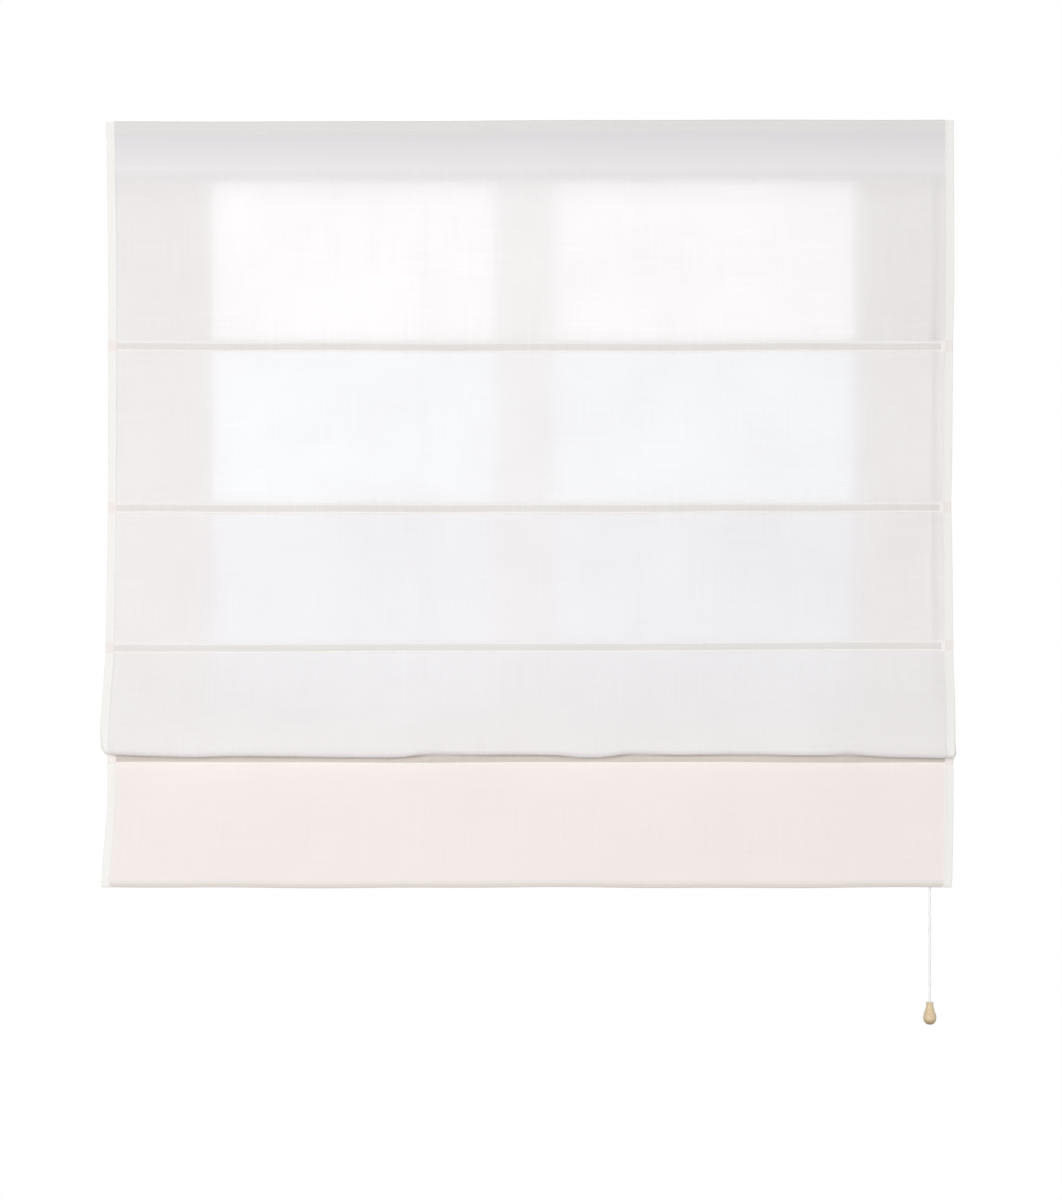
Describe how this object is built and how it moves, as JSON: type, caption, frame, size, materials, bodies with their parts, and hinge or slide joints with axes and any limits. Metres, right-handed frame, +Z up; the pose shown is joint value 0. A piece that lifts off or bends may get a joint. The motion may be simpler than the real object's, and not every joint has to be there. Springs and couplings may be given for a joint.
{
  "type": "roman blind",
  "caption": "Semi-sheer roman blind on a slim headrail, with rods in sewn pockets, one drawn-up fold, a doubled bottom hem, a cord lock and a pull cord with a wooden acorn.",
  "frame": {"origin": "midway between the two wall screw holes, on the wall's face", "axes": "+X along the rail to the right as seen from the room, +Y into the wall, +Z up"},
  "size_m": [1.4, 0.0685, 1.498],
  "materials": {
    "aluminium": "satin",
    "steel": "satin",
    "white_plastic": "satin",
    "rod_plastic": "satin",
    "cloth": "matte",
    "tape": "matte",
    "cord": "matte",
    "wood": "satin"
  },
  "bodies": {
    "rail": {"headrail": "aluminium", "end_cap_left": "white_plastic", "end_cap_right": "white_plastic", "bracket_left": "steel", "bracket_right": "steel", "rail_clip_left": "white_plastic", "rail_clip_right": "white_plastic", "clip_rivets": "steel", "hook_tape": "tape", "loop_tape": "tape", "fabric": "cloth", "cord_lock_housing": "white_plastic", "pulley_pin": "steel", "cord_guide_1": "white_plastic", "cord_guide_2": "white_plastic", "cord_guide_3": "white_plastic", "cord_guide_4": "white_plastic", "lift_cord_1": "cord", "lift_cord_2": "cord", "lift_cord_3": "cord", "lift_cord_4": "cord"},
    "pulley": {"lock_pulley": "white_plastic"},
    "roller": {"lock_roller": "steel"},
    "fold_1": {"rod_1": "rod_plastic", "rod_pocket_1": "cloth", "rings_1": "white_plastic"},
    "fold_2": {"rod_2": "rod_plastic", "rod_pocket_2": "cloth", "rings_2": "white_plastic"},
    "fold_3": {"rod_3": "rod_plastic", "rod_pocket_3": "cloth", "rings_3": "white_plastic"},
    "fold_4": {"rod_4": "rod_plastic", "rod_pocket_4": "cloth", "bottom_bar": "aluminium", "cord_tie_1": "white_plastic", "cord_tie_2": "white_plastic", "cord_tie_3": "white_plastic", "cord_tie_4": "white_plastic"},
    "pull": {"cord_joiner": "white_plastic", "pull_cord": "cord", "acorn": "wood"}
  },
  "joints": [
    {"name": "rod1_slide", "type": "slide", "parent": "rail", "child": "fold_1", "axis": [0, 0, 1], "range_m": [0, 0.28], "deforming": ["fabric", "lift_cord_1", "lift_cord_2", "lift_cord_3", "lift_cord_4"]},
    {"name": "rod2_slide", "type": "slide", "parent": "fold_1", "child": "fold_2", "axis": [0, 0, 1], "range_m": [0, 0.21], "deforming": ["fabric", "lift_cord_1", "lift_cord_2", "lift_cord_3", "lift_cord_4"]},
    {"name": "rod3_slide", "type": "slide", "parent": "fold_2", "child": "fold_3", "axis": [0, 0, 1], "range_m": [0, 0.18], "deforming": ["fabric", "lift_cord_1", "lift_cord_2", "lift_cord_3", "lift_cord_4"]},
    {"name": "rod4_slide", "type": "slide", "parent": "fold_3", "child": "fold_4", "axis": [0, 0, 1], "range_m": [-0.045, 0.12], "deforming": ["fabric", "lift_cord_1", "lift_cord_2", "lift_cord_3", "lift_cord_4"]},
    {"name": "pull_slide", "type": "slide", "parent": "rail", "child": "pull", "axis": [0, 0, 1], "range_m": [-0.79, 0.045], "deforming": ["lift_cord_1", "lift_cord_2", "lift_cord_3", "lift_cord_4"]},
    {"name": "pulley_spin", "type": "hinge", "parent": "rail", "child": "pulley", "pos_m": [0.658, -0.0148, 0.0092], "axis": [0, 1, 0], "continuous": true},
    {"name": "roller_slide", "type": "slide", "parent": "rail", "child": "roller", "axis": [0.5, 0, 0.866], "range_m": [0, 0.006]}
  ],
  "couplings": [
    {"joint": "pull_slide", "follows": "rod4_slide", "ratio": -1},
    {"joint": "pulley_spin", "follows": "rod4_slide", "rad_per_m": 166.67}
  ]
}
